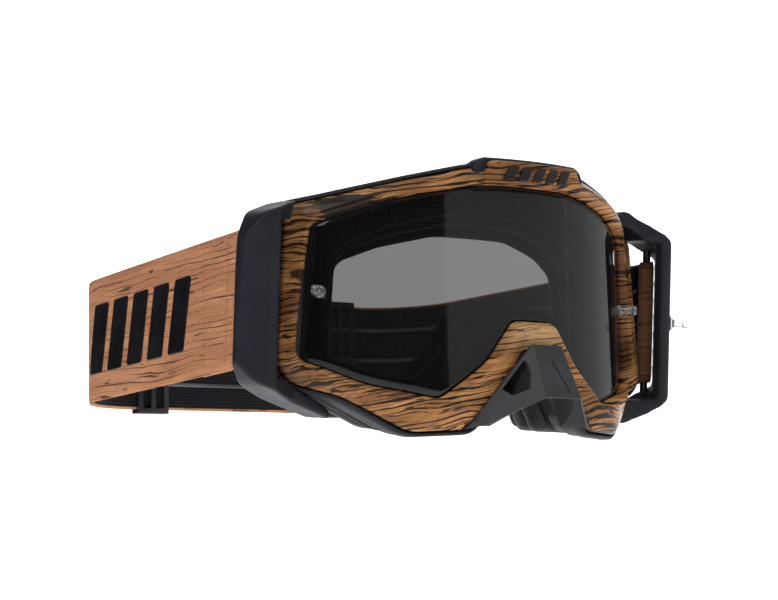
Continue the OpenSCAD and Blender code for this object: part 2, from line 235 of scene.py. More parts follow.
def softened(node, name, material, voxel=0.5, rounds=6):
    """A CAD node with its edges rounded off as a moulding's are."""
    source = frame["nodes"][node]
    obj = bpy.data.objects.new(name, source.data.copy())
    bpy.context.scene.collection.objects.link(obj)
    obj.data.materials.clear()
    modifier(obj, "REMESH", mode="VOXEL", voxel_size=voxel * MM)
    modifier(obj, "SMOOTH", factor=0.5, iterations=rounds)
    apply_modifiers(obj)
    if len(obj.data.polygons) > MOST_FACES:
        modifier(obj, "DECIMATE", ratio=MOST_FACES / len(obj.data.polygons))
        apply_modifiers(obj)
    obj.data.materials.clear()
    obj.data.materials.append(material)
    obj.data.shade_smooth()
    layer = obj.data.attributes.new("flow", "FLOAT_VECTOR", "POINT")
    flow = [c * MM for v in obj.data.vertices
            for c in flow_of((v.co.x / MM, v.co.y / MM + FACE_Y, v.co.z / MM))]
    layer.data.foreach_set("vector", flow)
    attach(obj, source["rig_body"])
    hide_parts(node)
    return obj


# ------------------------------------------------------------------ materials
class Finish:
    """A procedural material, built from short calls."""

    def __init__(self, name, **shader):
        self.mat = bpy.data.materials.new(name)
        self.mat.use_nodes = True
        self.tree = self.mat.node_tree
        self.bsdf = self.tree.nodes["Principled BSDF"]
        for k, v in shader.items():
            self.bsdf.inputs[k.replace("_", " ")].default_value = v
        self.place = self.tree.nodes.new("ShaderNodeTexCoord").outputs["Object"]

    def node(self, kind, inputs=(), **settings):
        n = self.tree.nodes.new("ShaderNode" + kind)
        for k, v in settings.items():
            setattr(n, k, v)
        for k, v in dict(inputs).items():
            if isinstance(v, bpy.types.NodeSocket):
                self.tree.links.new(v, n.inputs[k])
            else:
                n.inputs[k].default_value = v
        return n

    def flow(self):
        return self.node("Attribute", attribute_name="flow").outputs["Vector"]

    def mapped(self, source, scale=(1, 1, 1), turn=(0, 0, 0), move=(0, 0, 0)):
        return self.node("Mapping", {"Vector": source, "Scale": scale, "Rotation": turn,
                                     "Location": move}).outputs[0]

    def noise(self, source, scale, detail=3.0, rough=0.55, warp=0.0):
        return self.node("TexNoise", {"Vector": source, "Scale": scale, "Detail": detail,
                                      "Roughness": rough, "Distortion": warp}).outputs["Fac"]

    def math(self, kind, a, b=0.0, c=0.0):
        return self.node("Math", {0: a, 1: b, 2: c}, operation=kind).outputs[0]

    def ramp(self, value, low, high, out_low=0.0, out_high=1.0, smooth=True):
        return self.node("MapRange", {"Value": value, "From Min": low, "From Max": high,
                                      "To Min": out_low, "To Max": out_high},
                         interpolation_type="SMOOTHSTEP" if smooth else "LINEAR").outputs[0]

    def mix(self, factor, a, b):
        n = self.tree.nodes.new("ShaderNodeMix")
        n.data_type = "RGBA"
        for k, v in ((0, factor), (6, a), (7, b)):
            if isinstance(v, bpy.types.NodeSocket):
                self.tree.links.new(v, n.inputs[k])
            else:
                n.inputs[k].default_value = v if k == 0 else (*v, 1)
        return n.outputs[2]

    def bump(self, height, strength, distance, under=None):
        inputs = {"Height": height, "Strength": strength, "Distance": distance}
        if under is not None:
            inputs["Normal"] = under
        return self.node("Bump", inputs).outputs[0]

    def set(self, **links):
        for k, v in links.items():
            self.tree.links.new(v, self.bsdf.inputs[k.replace("_", " ")])
        return self.mat


def grain_lines(f, tilted, pitch, thick, seed, along=45.0):
    """Broken parallel lines across the flow: 1 in the ink, 0 between."""
    drift = f.noise(f.mapped(tilted, (14, 55, 20), move=(seed, 1, 0)), 1.0, 2.0)
    height = f.node("SeparateXYZ", {0: tilted}).outputs["Y"]
    phase = f.math("MULTIPLY_ADD", height, pitch, f.math("MULTIPLY", drift, pitch * 0.007))
    off = f.math("ABSOLUTE", f.math("SUBTRACT", f.math("FRACT", phase), 0.5))
    run = f.noise(f.mapped(tilted, (along, pitch * 0.62, 60), move=(0, seed, 3)), 1.0, 3.0, 0.6)
    width = f.ramp(run, 0.40, 0.70, 0.0, thick, smooth=False)
    return f.ramp(f.math("SUBTRACT", width, off), 0.0, 0.05)


def wood_grain(f, flow, gold, brown, dark, bend, thick, turn):
    """Colour of the printed grain: flowing dark strokes, fine lines and specks on warm wood."""
    wave = f.noise(f.mapped(flow, (20, 45, 20)), 1.0, 2.0)
    lift = f.math("MULTIPLY", f.math("SUBTRACT", wave, 0.5), bend)
    bent = f.node("VectorMath", {0: flow, 1: f.node("CombineXYZ", {"Y": lift}).outputs[0]},
                  operation="ADD").outputs[0]
    tilted = f.mapped(bent, (1, 1, 1), (0, 0, math.radians(turn)))
    broad = f.noise(f.mapped(tilted, (16, 120, 60)), 1.0, 3.0)
    ground = f.mix(f.ramp(broad, 0.38, 0.66), brown, gold)
    pale = f.noise(f.mapped(tilted, (30, 380, 90), move=(3, 1, 0)), 1.0, 4.0)
    ground = f.mix(f.ramp(pale, 0.5, 0.78, 0.0, 0.5), ground, tuple(min(1, c * 1.35) for c in gold))
    lines = grain_lines(f, tilted, 400.0, thick, 2.0, 15.0)
    thin = grain_lines(f, tilted, 760.0, thick * 0.7, 7.0, 30.0)
    blots = f.noise(f.mapped(tilted, (50, 520, 130)), 1.0, 2.5, 0.6, 0.25)
    blots = f.ramp(blots, 0.64, 0.67)
    specks = f.ramp(f.noise(f.mapped(flow, (900, 1300, 900)), 1.0, 1.0), 0.715, 0.745)
    knots = f.ramp(f.noise(f.mapped(tilted, (30, 75, 30), move=(2.3, 0.4, 0)), 1.0, 1.5),
                   0.68, 0.74, 0.0, 0.9)
    ink = f.math("MAXIMUM", lines, f.math("MULTIPLY", thin, 0.85))
    ink = f.math("MAXIMUM", f.math("MAXIMUM", ink, blots), f.math("MAXIMUM", specks, knots))
    return f.mix(f.math("MULTIPLY", ink, 0.93), ground, dark), ink


def bezel_finish():
    """Wood print with a dark knot at an upper corner; painted highlight over the nose, painted shade at
    both ends.
    """
    f = Finish("bezel_wood_print", Roughness=0.34, Coat_Weight=0.1, Coat_Roughness=0.12,
               Specular_IOR_Level=0.14)
    colour, ink = wood_grain(f, f.flow(), (0.50, 0.235, 0.080), (0.21, 0.086, 0.028),
                             (0.009, 0.005, 0.003), bend=0.012, thick=0.37, turn=-7)
    knot = f.node("VectorMath", {0: f.mapped(f.flow(), (80, 180, 0), move=(6.0, -5.6, 0))},
                  operation="LENGTH").outputs["Value"]
    streak = f.noise(f.mapped(f.flow(), (60, 900, 60)), 1.0, 3.0)
    knot = f.math("ADD", knot, f.math("MULTIPLY", f.math("SUBTRACT", streak, 0.5), 1.6))
    colour = f.mix(f.ramp(knot, 0.85, 1.05, 0.97, 0.0), colour, (0.004, 0.003, 0.0025))
    # Painted highlight: the wood is made paler round the nose arch.
    nose_highlight = f.node("VectorMath", {0: f.mapped(f.flow(), (52, 75, 0), move=(0, 1.15, 0))},
                  operation="LENGTH").outputs["Value"]
    colour = f.mix(f.ramp(nose_highlight, 0.15, 1.1, 0.45, 0.0), colour, (0.80, 0.53, 0.25))
    colour = f.mix(f.math("MULTIPLY", ink, 0.8), colour, (0.012, 0.007, 0.004))
    # Painted shade: the wood darkens towards both ends of the bezel.
    along = f.node("SeparateXYZ", {0: f.flow()}).outputs["X"]
    end_shade = f.ramp(f.math("ABSOLUTE", along), 0.070, 0.098, 0.0, 0.45)
    colour = f.mix(end_shade, colour, (0.03, 0.014, 0.006))
    haze = f.noise(f.place, 260.0, 3.0)
    rough = f.ramp(f.math("ADD", haze, f.math("MULTIPLY", ink, -0.12)), 0.2, 0.8, 0.26, 0.42)
    return f.set(Base_Color=colour, Roughness=rough,
                 Normal=f.bump(f.noise(f.place, 700.0, 2.0), 0.04, 0.0004))


def moulded(name, dark, light, rough=(0.42, 0.58), grain=2600.0, strength=0.12,
            painted_back_shade=False, **shader):
    """Moulded plastic: fine spark texture, uneven sheen and faint scuffs; if asked, painted shade on
    faces turned to the back.
    """
    f = Finish(name, **shader)
    cloud = f.noise(f.place, 35.0, 3.0)
    scuff = f.noise(f.mapped(f.place, (60, 60, 700), (0.3, 0.2, 0.1)), 1.0, 4.0, 0.7)
    colour = f.mix(f.ramp(cloud, 0.3, 0.7), dark, light)
    colour = f.mix(f.ramp(scuff, 0.66, 0.8, 0.0, 0.25), colour, tuple(c * 1.7 for c in light))
    if painted_back_shade:
        # Painted shade: faces whose normal points backwards are darkened.
        facing = f.node("NewGeometry").outputs["Normal"]
        back = f.ramp(f.node("SeparateXYZ", {0: facing}).outputs["Y"], 0.0, 0.3, 0.0, 0.85)
        colour = f.mix(back, colour, (0.003, 0.003, 0.004))
    fine = f.noise(f.place, grain, 2.0)
    return f.set(Base_Color=colour, Roughness=f.ramp(cloud, 0.25, 0.75, *rough),
                 Normal=f.bump(fine, strength, 0.0003))


def cloth(name, dark, light, fuzz=2200.0, strength=0.6, depth=0.0006, sheen=0.3, rough=0.95):
    """Brushed fleece or foam: clumped fibres, flecks of light and soft sheen."""
    f = Finish(name, Roughness=rough, Sheen_Weight=sheen, Sheen_Roughness=0.5,
               Specular_IOR_Level=0.1)
    clump = f.noise(f.place, fuzz * 0.22, 4.0, 0.65)
    fibre = f.noise(f.place, fuzz, 3.0, 0.7)
    both = f.math("ADD", f.math("MULTIPLY", clump, 0.6), f.math("MULTIPLY", fibre, 0.5))
    colour = f.mix(f.ramp(both, 0.4, 0.72), dark, light)
    fleck = f.noise(f.mapped(f.place, (1500, 1500, 1500), move=(2, 5, 1)), 1.0, 2.0, 0.7)
    colour = f.mix(f.ramp(fleck, 0.66, 0.74, 0.0, 0.6), colour, (0.20, 0.19, 0.18))
    return f.set(Base_Color=colour, Normal=f.bump(both, strength, depth))


def smoke_lens_finish():
    f = Finish("lens_smoke", Alpha=0.64)
    film = f.noise(f.mapped(f.flow(), (9, 14, 9)), 1.0, 2.0)
    colour = f.mix(film, (0.004, 0.004, 0.0045), (0.007, 0.0068, 0.007))
    rough = f.ramp(f.noise(f.place, 120.0, 3.0), 0.2, 0.8, 0.015, 0.04)
    return f.set(Base_Color=colour, Roughness=rough)


def clear_finish():
    f = Finish("post_clear", IOR=1.56, Transmission_Weight=0.92)
    ripple = f.noise(f.place, 500.0, 2.0)
    return f.set(Base_Color=f.mix(ripple, (0.62, 0.64, 0.67), (0.80, 0.82, 0.84)),
                 Roughness=f.ramp(ripple, 0.2, 0.8, 0.02, 0.07),
                 Normal=f.bump(ripple, 0.15, 0.0004))


def strap_finish():
    """Knitted elastic printed with wood grain; flow is length, height and side."""
    f = Finish("strap_fabric", Roughness=0.88, Sheen_Weight=0.1, Sheen_Roughness=0.4,
               Specular_IOR_Level=0.12)
    flow = f.flow()
    colour, ink = wood_grain(f, flow, (0.62, 0.285, 0.140), (0.47, 0.200, 0.092),
                             (0.035, 0.016, 0.010), bend=0.004, thick=0.17, turn=1.5)
    speckle = f.noise(flow, 2600.0, 3.0, 0.8)
    colour = f.mix(f.ramp(speckle, 0.45, 0.7, 0.0, 0.45), colour, (0.30, 0.132, 0.064))
    pale = f.noise(f.mapped(flow, (900, 900, 900), move=(4, 4, 4)), 1.0, 2.0)
    colour = f.mix(f.ramp(pale, 0.70, 0.74, 0.0, 0.7), colour, (0.75, 0.55, 0.42))
    along = f.node("SeparateXYZ", {0: flow}).outputs["X"]
    # Painted shade: the folded end lies inside the outrigger's slot; it is darkened up to 36 mm along
    # the strap, fading out by 44 mm.
    colour = f.mix(f.ramp(along, 0.036, 0.044, 0.75, 0.0), colour, (0.055, 0.028, 0.016))
    rib = f.node("TexWave", {"Vector": f.mapped(flow, (1, 1, 1), (0, 0, 0.5)), "Scale": 420.0,
                             "Distortion": 0.6, "Detail": 1.0}, wave_type="BANDS").outputs["Fac"]
    weft = f.node("TexWave", {"Vector": f.mapped(flow, (1, 1, 1), (0, 0, -0.5)), "Scale": 420.0,
                              "Distortion": 0.6}, wave_type="BANDS").outputs["Fac"]
    weave = f.math("MULTIPLY", rib, weft)
    return f.set(Base_Color=colour, Normal=f.bump(weave, 0.5, 0.00035,
                                                  f.bump(speckle, 0.25, 0.0003)))


def webbing(name, dark, light, pitch=330.0):
    """Plain woven tape: ribs across it and rows along it."""
    f = Finish(name, Roughness=0.9, Sheen_Weight=0.08, Sheen_Roughness=0.5,
               Specular_IOR_Level=0.1)
    flow = f.flow()
    rib = f.node("TexWave", {"Vector": flow, "Scale": pitch, "Distortion": 0.4},
                 wave_type="BANDS", bands_direction="X").outputs["Fac"]
    row = f.node("TexWave", {"Vector": flow, "Scale": pitch * 0.7, "Distortion": 0.4},
                 wave_type="BANDS", bands_direction="Y").outputs["Fac"]
    weave = f.math("MULTIPLY", rib, row)
    fluff = f.noise(flow, 1500.0, 3.0)
    colour = f.mix(f.ramp(f.math("ADD", weave, f.math("MULTIPLY", fluff, 0.5)), 0.1, 1.2),
                   dark, light)
    return f.set(Base_Color=colour, Normal=f.bump(weave, 0.6, 0.0004))


def steel_finish():
    f = Finish("pin_steel", Metallic=1.0)
    drawn = f.noise(f.mapped(f.place, (900, 900, 40)), 1.0, 3.0)
    return f.set(Base_Color=f.mix(drawn, (0.05, 0.05, 0.052), (0.10, 0.10, 0.105)),
                 Roughness=f.ramp(drawn, 0.2, 0.8, 0.22, 0.4),
                 Normal=f.bump(drawn, 0.1, 0.0002))


black = moulded("frame_black", (0.007, 0.0078, 0.011), (0.013, 0.0145, 0.020),
                Specular_IOR_Level=0.2)
# The guard's plastic, with painted shade on its inner faces.
guard_black = moulded("guard_black", (0.018, 0.0185, 0.021), (0.033, 0.0335, 0.038), (0.38, 0.5),
                      painted_back_shade=True, Specular_IOR_Level=0.3)
# Dull black with no specular, laid over the lens ledge as painted shade.
ledge_shade_black = moulded("ledge_shade_dull_black", (0.003, 0.003, 0.003), (0.006, 0.006, 0.006), (0.9, 1.0),
                     1500.0, 0.2, Specular_IOR_Level=0.0)
soft_black = moulded("face_frame_soft", (0.006, 0.006, 0.007), (0.012, 0.012, 0.014),
                     (0.6, 0.75), 1900.0, 0.25, Specular_IOR_Level=0.15)
badge_black = moulded("badge_gloss_black", (0.007, 0.006, 0.006), (0.014, 0.012, 0.011),
                      (0.16, 0.28), 1400.0, 0.05, Coat_Weight=0.1,
                      Specular_IOR_Level=0.2)
print_black = moulded("print_gloss_black", (0.004, 0.004, 0.006), (0.011, 0.011, 0.014),
                      (0.22, 0.38), 900.0, 0.15, Coat_Weight=0.2,
                      Specular_IOR_Level=0.35)
tab_black = moulded("lens_tab_black", (0.006, 0.006, 0.007), (0.014, 0.014, 0.016), (0.25, 0.4))
adjuster_black = moulded("adjuster_black", (0.009, 0.009, 0.011), (0.02, 0.02, 0.024), (0.35, 0.5))
silicone = moulded("bead_silicone", (0.045, 0.048, 0.055), (0.085, 0.09, 0.10), (0.25, 0.4),
                   1500.0, 0.1)
wood = bezel_finish()
smoke = smoke_lens_finish()
clear = clear_finish()
strap_print_wood = strap_finish()
lining_black = webbing("strap_lining", (0.003, 0.003, 0.004), (0.013, 0.013, 0.016))
thread = webbing("strap_thread", (0.42, 0.185, 0.085), (0.58, 0.265, 0.128), 900.0)
fleece = cloth("face_fleece", (0.003, 0.003, 0.003), (0.06, 0.055, 0.052))
foam_grey = cloth("face_foam", (0.003, 0.003, 0.0035), (0.018, 0.018, 0.020), 1500.0, 0.8, 0.0007)
vent_grey = cloth("vent_foam", (0.003, 0.003, 0.004), (0.04, 0.04, 0.042), 900.0, 1.0, 0.0012)
steel = steel_finish()


# ------------------------------------------------------------------ lens unit
def lens_shell():
    edge = outline(LENS, EIGHT)
    inner = outline(LENS, EIGHT, -0.25)
    hub = np.array((0, 8.0))
    rings = [ring(inner, LENS_THICK, lens_y), ring(edge, LENS_THICK - 0.2, lens_y),
             ring(edge, 0.2, lens_y), ring(inner, 0.0, lens_y)]
    steps = 16
    front = [ring(mixed(inner, hub * np.ones_like(inner), k / steps), 0.0, lens_y)
             for k in range(1, steps)]
    back = [ring(mixed(inner, hub * np.ones_like(inner), k / steps), LENS_THICK, lens_y)
            for k in range(steps - 1, 0, -1)]
    verts, faces = tube(back + rings + front, closed_section=False)
    n = len(edge)
    verts += [(hub[0], lens_y(hub[0]) + LENS_THICK, hub[1]), (hub[0], lens_y(hub[0]), hub[1])]
    last = (len(back) + len(rings) + len(front) - 1) * n
    faces += [(a, (a + 1) % n, len(verts) - 2) for a in range(n)]
    faces += [(last + a, last + (a + 1) % n, len(verts) - 1) for a in range(n)]
    return mesh_piece("lens_smoke_shell", verts, faces, "lens_unit", smoke,
                      ("lens",))


def turned(name, profile, base, axis, body, material, replaces, segments=40):
    """A turned piece: profile is radius and height in mm along axis from base."""
    axis = Vector(axis).normalized()
    side = axis.orthogonal().normalized()
    other = axis.cross(side)
    verts, faces = [], []
    for r, h in profile:
        for k in range(segments):
            a = 2 * math.pi * k / segments
            verts.append(tuple(Vector(base) + axis * h + (side * math.cos(a) + other * math.sin(a)) * r))
    for i in range(len(profile) - 1):
        faces += [(i * segments + k, i * segments + (k + 1) % segments,
                   (i + 1) * segments + (k + 1) % segments, (i + 1) * segments + k)
                  for k in range(segments)]
    faces.append(tuple(range(segments)))
    faces.append(tuple((len(profile) - 1) * segments + k for k in range(segments)))
    return mesh_piece(name, verts, faces, body, material, replaces)


# radius and height along the post's axis, from its flange to its head
POST = [(2.2, -0.35), (2.36, -0.2), (2.4, 0.5), (2.36, 1.0), (2.15, 1.2), (1.7, 1.3), (1.52, 1.5),
        (1.5, 2.4), (1.5, 4.6), (1.5, 5.45), (1.6, 5.6), (1.8, 5.75), (1.89, 6.0), (1.9, 6.7),
        (1.8, 7.1), (1.5, 7.4), (1.0, 7.5), (0.7, 7.42), (0.45, 7.15)]
POST_X = 74
TAB_BASE, TAB_TURN = (103.15, 31.6, -3), math.radians(46.7)      # the post on the left outrigger


def posts():
    a = math.asin(POST_X / R)
    for side, sign in (("left", 1), ("right", -1)):
        turned("post_" + side, [(r, h + 0.2) for r, h in POST],
               (sign * POST_X, lens_y(POST_X), 0), (sign * math.sin(a), -math.cos(a), 0),
               "lens_unit", clear, ("tear_off_post_" + side,))
    base = lean_point(*TAB_BASE)
    axis = lean_point(math.sin(TAB_TURN), -math.cos(TAB_TURN), 0, True)
    turned("pull_tab_boss", [(3.0, -1.5), (3.2, -1.2), (3.2, 0.02), (3.0, 0.3), (2.4, 0.42)],
           base, axis, "frame", black, ())
    turned("post_pull_tab", [(r, max(h, 0.04)) for r, h in POST], base, axis,
           "frame", clear, ("pull_tab_post",))


def lean_point(x, y, z, direction=False):
    """A point, or a direction, turned with the leaning outriggers."""
    dy, dz = (y, z) if direction else (y - PIN[1], z - STRAP_MID)
    ly, lz = dy * math.cos(LEAN) - dz * math.sin(LEAN), dy * math.sin(LEAN) + dz * math.cos(LEAN)
    return (x, ly, lz) if direction else (x, PIN[1] + ly, STRAP_MID + lz)


# ------------------------------------------------------------------ bezel and frames
GUARD_TOP, GUARD_POINT = (6.9, -8.6, -20.0), (8.5, -17.0, -40.0)
GUARD_TIP = (29.6, 2.4, -50.0)
GUARD_LOW = [(8.5, -17.0, -40.0), (16.6, -9.6, -44.6), (24.6, -2.4, -49.4), (32.4, 3.8, -51.4)]


def guard_plane(x, z):
    """How far forward the guard's wing is at a point of the front view."""
    p, q, r = map(np.array, (GUARD_TOP, GUARD_POINT, GUARD_TIP))
    n = np.cross(q - p, r - p)
    return p[1] - (n[0] * (abs(x) - p[0]) + n[2] * (z - p[2])) / n[1]


def near_guard(x, z):
    """1 under the guard's wing, easing to 0 outside it."""
    x = abs(x)
    (ax, _, az), (bx, _, bz) = GUARD_TOP, GUARD_TIP
    over = ((x - ax) * (az - bz) - (az - z) * (bx - ax)) / math.hypot(bx - ax, az - bz)
    return max(0, min(1, 1 - (over - 0.4) / 0.8)) if x > 15 else 0


def bezel_shell():
    lens = {d: outline(LENS, EIGHT, d) for d in (0.45, 0.8, 1.7, 2.6, 3.3, 4.3)}
    rim = {d: outline(BEZEL, NINE, -d) for d in (0.0, 0.35, 1.3)}
    inner, outer = lens[4.3], rim[1.3]
    rings = [ring(lens[0.45], 1.9), ring(lens[0.45], -0.7), ring(lens[0.8], -1.7),
             ring(lens[1.7], -3.5), ring(lens[2.6], -4.85), ring(lens[3.3], -5.15),
             ring(inner, -5.0)]
    rings += [ring(mixed(inner, outer, t), -5.0 + 1.6 * t ** 1.2) for t in (0.25, 0.5, 0.75)]
    rings += [ring(outer, -3.4), ring(rim[0.35], -2.9), ring(rim[0.0], -2.2), ring(rim[0.0], 1.9)]
    sunk = []
    for r in rings:
        line = []
        for x, y, z in r:
            k = near_guard(x, z)
            floor = max(y, min(guard_plane(x, z) + 2.2, curve_y(x) + 1.2))
            line.append((x, y + (floor - y) * k, z))
        sunk.append(line)
    verts, faces = tube(sunk)
    obj = mesh_piece("bezel_shell", verts, faces, "frame", wood, ("bezel",))
    modifier(obj, "SUBSURF", levels=1, render_levels=1)
    apply_modifiers(obj)
    return obj


def rim_shell():
    """The outer frame: a lip round the bezel, a wall behind it and the ledge that backs the lens."""
    b = {d: outline(BEZEL, NINE, d) for d in (0.2, 0.7, 1.3, 1.8, 1.6, 0.8, 0.5, -1.2)}
    ledge = outline(LENS, EIGHT, -4)
    rings = [ring(b[0.2], 2.1), ring(b[0.2], -1.0), ring(b[0.7], -1.55), ring(b[1.3], -1.4),
             ring(b[1.8], -0.7), ring(b[1.8], 3.4), ring(b[1.6], 3.9), ring(b[0.8], 4.6),
             ring(b[0.8], 9.6), ring(b[0.5], 9.95), ring(b[-1.2], 9.95), ring(b[-1.2], 4.4),
             ring(ledge, 4.0), ring(ledge, 2.25)]
    verts, faces = tube(rings)
    obj = mesh_piece("outer_frame_shell", verts, faces, "frame", black,
                     ("outer_frame",))
    modifier(obj, "BEVEL", width=0.25 * MM, segments=2, limit_method="ANGLE",
             angle_limit=math.radians(40))
    apply_modifiers(obj)
    obj.data.shade_smooth()
    return obj


def ledge_shade_sheet():
    """A thin dull black sheet over the ledge behind the lens: painted shade, so the ledge seen through
    the lens stays dark.
    """
    rings = [ring(outline(LENS, EIGHT, -0.1), 1.8), ring(outline(LENS, EIGHT, -4.3), 1.8),
             ring(outline(LENS, EIGHT, -4.3), 4.2), ring(outline(LENS, EIGHT, -4.05), 4.2),
             ring(outline(LENS, EIGHT, -4.05), 2.1), ring(outline(LENS, EIGHT, -0.1), 2.1)]
    verts, faces = tube(rings)
    mesh_piece("lens_ledge_shade", verts, faces, "frame", ledge_shade_black, smooth=False)


def plate(name, corners, rings_at, body, material, replaces=(), arcs=5, straight=4):
    """A closed plate on the curve: rings_at lists (how much larger, depth) from back to front."""
    loops = []
    for d, depth in rings_at:
        pts = full_outline(corners, d, arcs, straight)
        loops.append(ring(pts, depth))
    verts, faces = tube(loops, closed_section=False)
    n = len(loops[0])
    centre = np.mean([(v[0], v[2]) for v in loops[-1]], axis=0)
    for first, depth in ((0, rings_at[0][1]), ((len(loops) - 1) * n, rings_at[-1][1])):
        verts.append((centre[0], curve_y(centre[0]) + depth, centre[1]))
        faces += [(first + a, first + (a + 1) % n, len(verts) - 1) for a in range(n)]
    return crisp(mesh_piece(name, verts, faces, body, material, replaces))


def crisp(obj):
    """Keeps flat faces flat between their softened edges."""
    modifier(obj, "WEIGHTED_NORMAL", keep_sharp=True, weight=100)
    apply_modifiers(obj)
    obj.data.shade_smooth()
    return obj


def full_outline(corners, d, arcs, straight):
    """An outline that isn't mirrored, from all its corners."""
    big = pushed_out([np.array(c[:2], float) for c in corners], [c[2] for c in corners], d, 0.15)
    flat = [np.array(c[:2]) for c in big]
    bends = [arc(flat[i], flat[i - 1], flat[(i + 1) % len(flat)], c[2], arcs)
             for i, c in enumerate(big)]
    out = []
    for i, bend in enumerate(bends):
        start, end = bend[-1], bends[(i + 1) % len(bends)][0]
        out += bend
        out += [start + (end - start) * k / (straight + 1) for k in range(1, straight + 1)]
    return np.array(out)


def mirrored(half):
    return half + [(-x, z, r) for x, z, r in half[::-1]]


def brow():
    """The raised brow: a black surround, a wood-print plate and plain slanted bars."""
    plate("brow_surround", mirrored(BROW), [(-0.6, 2.0), (0, 1.6), (0, -3.4), (-0.5, -4.2),
                                            (-1.2, -4.5)],
          "frame", black, arcs=6, straight=6)
    plate("brow_plate", mirrored([(20.8, 48.2, 1), (24.6, 39.6, 1.5)]),
          [(-0.2, -2.5), (0, -3), (0, -5.6), (-0.25, -6.1), (-0.9, -6.3)],
          "frame", wood, arcs=6, straight=8)
    for i in range(5):
        x = (i - 2) * 6.4
        bar = [(x - 2.1 + 1.6, 46.4, 0.3), (x + 2.1 + 1.6, 46.4, 0.3), (x + 2.1 - 1.6, 41, 0.3),
               (x - 2.1 - 1.6, 41, 0.3)]
        plate(f"brow_bar_{i + 1}", bar, [(-0.1, -6.0), (0, -6.1), (0, -6.8), (-0.15, -7.0),
                                        (-0.4, -7.05)],
              "frame", badge_black, ("brow_badge",) if i == 0 else (), 4, 2)


# ------------------------------------------------------------------ foam
def foam_ring(name, front, back, inset, flare, material, node, bulge=0.5):
    """A foam layer whose edges are rounded and whose sides swell a little."""
    depth = back - front
    outer = lambda e: outline(FOAM, NINE, e - inset)
    inner = lambda e: outline(PORT, EIGHT, flare - e)
    soft = min(1.2, depth * 0.3)
    steps = [(-soft, 0.06), (-soft * 0.3, soft * 0.45), (bulge * 0.6, soft * 1.2),
             (bulge, depth / 2), (bulge * 0.6, depth - soft * 1.2),
             (-soft * 0.3, depth - soft * 0.45), (-soft, depth - 0.06)]
    rings = [ring(outer(e), front + y) for e, y in steps]
    far_out, far_in = outer(-soft), inner(-soft)
    rings += [ring(mixed(far_out, far_in, t), back - 0.06 + 0.35 * math.sin(math.pi * t))
              for t in (0.25, 0.5, 0.75)]
    rings += [ring(inner(e), front + y) for e, y in reversed(steps)]
    rings += [ring(mixed(far_in, far_out, t), front + 0.06) for t in (0.25, 0.5, 0.75)]
    verts, faces = tube(rings)
    obj = mesh_piece(name, verts, faces, "frame", material, (node,))
    return obj


# ------------------------------------------------------------------ nose guard
def shell_faces(n, rows):
    """Faces of two grids with n points in a row, joined round their edges into a closed shell."""
    count = n * (rows + 1)
    faces = []
    for j in range(rows):
        for i in range(n - 1):
            a = j * n + i
            faces.append((a, a + 1, a + n + 1, a + n))
            faces.append((count + a, count + a + n, count + a + n + 1, count + a + 1))
    edge = list(range(n)) + [j * n + n - 1 for j in range(1, rows + 1)]
    edge += [rows * n + i for i in range(n - 2, -1, -1)] + [j * n for j in range(rows - 1, 0, -1)]
    return faces + [(a, a + count, b + count, b) for a, b in zip(edge, edge[1:] + edge[:1])]


def guard():
    """The folded guard: a front and two swept wings, each with a window."""
    top, point = np.array(GUARD_TOP), np.array(GUARD_POINT)
    tip = np.array(GUARD_TIP)
    rows, across, middle = 14, 22, 8
    grid = []
    for j in range(rows + 1):
        t = j / rows
        crease = top * (1 - t) + point * t
        right = []
        for i in range(across + 1):
            s = i / across
            up = top * (1 - s) + tip * s
            right.append(up * (1 - t) + wing_foot(s) * t)
        left = [p * (-1, 1, 1) for p in right[::-1]]
        mid = [crease * (-1, 1, 1) * (1 - k / middle) + crease * (k / middle)
               for k in range(1, middle)]
        grid.append(left + mid + right)
    thick = 1.5
    verts = [tuple(p) for row in grid for p in row]
    verts += [tuple(p + np.array((0, thick, 0))) for row in grid for p in row]
    faces = shell_faces(len(grid[0]), rows)
    obj = mesh_piece("nose_guard_shell", verts, faces, "guard_unit", guard_black,
                     ("nose_guard",))
    window = [(18.2, -36.4), (16.2, -38.9), (11.4, -36.6), (10.0, -31.0), (9.8, -26.6), (10.5, -25.7)]
    for sign in (1, -1):
        cut(obj, [(sign * x, z) for x, z in window], -40, 30)
    cut(obj, [(-0.4, -26.0), (0.4, -26.0), (4.4, -38.0), (-4.2, -38.0)],
        guard_front(-38) - 30, None)
    modifier(obj, "BEVEL", width=0.45 * MM, segments=3, limit_method="ANGLE",
             angle_limit=math.radians(28))
    modifier(obj, "WEIGHTED_NORMAL", keep_sharp=True)
    apply_modifiers(obj)
    obj.data.shade_smooth()
    return obj


def wing_foot(s):
    """A point along the lower edge of the guard's wing, from the crease out."""
    low = [np.array(p) for p in GUARD_LOW]
    k = min(2.9999, s * 3)
    i = int(k)
    return mixed(low[i], low[i + 1], k - i)


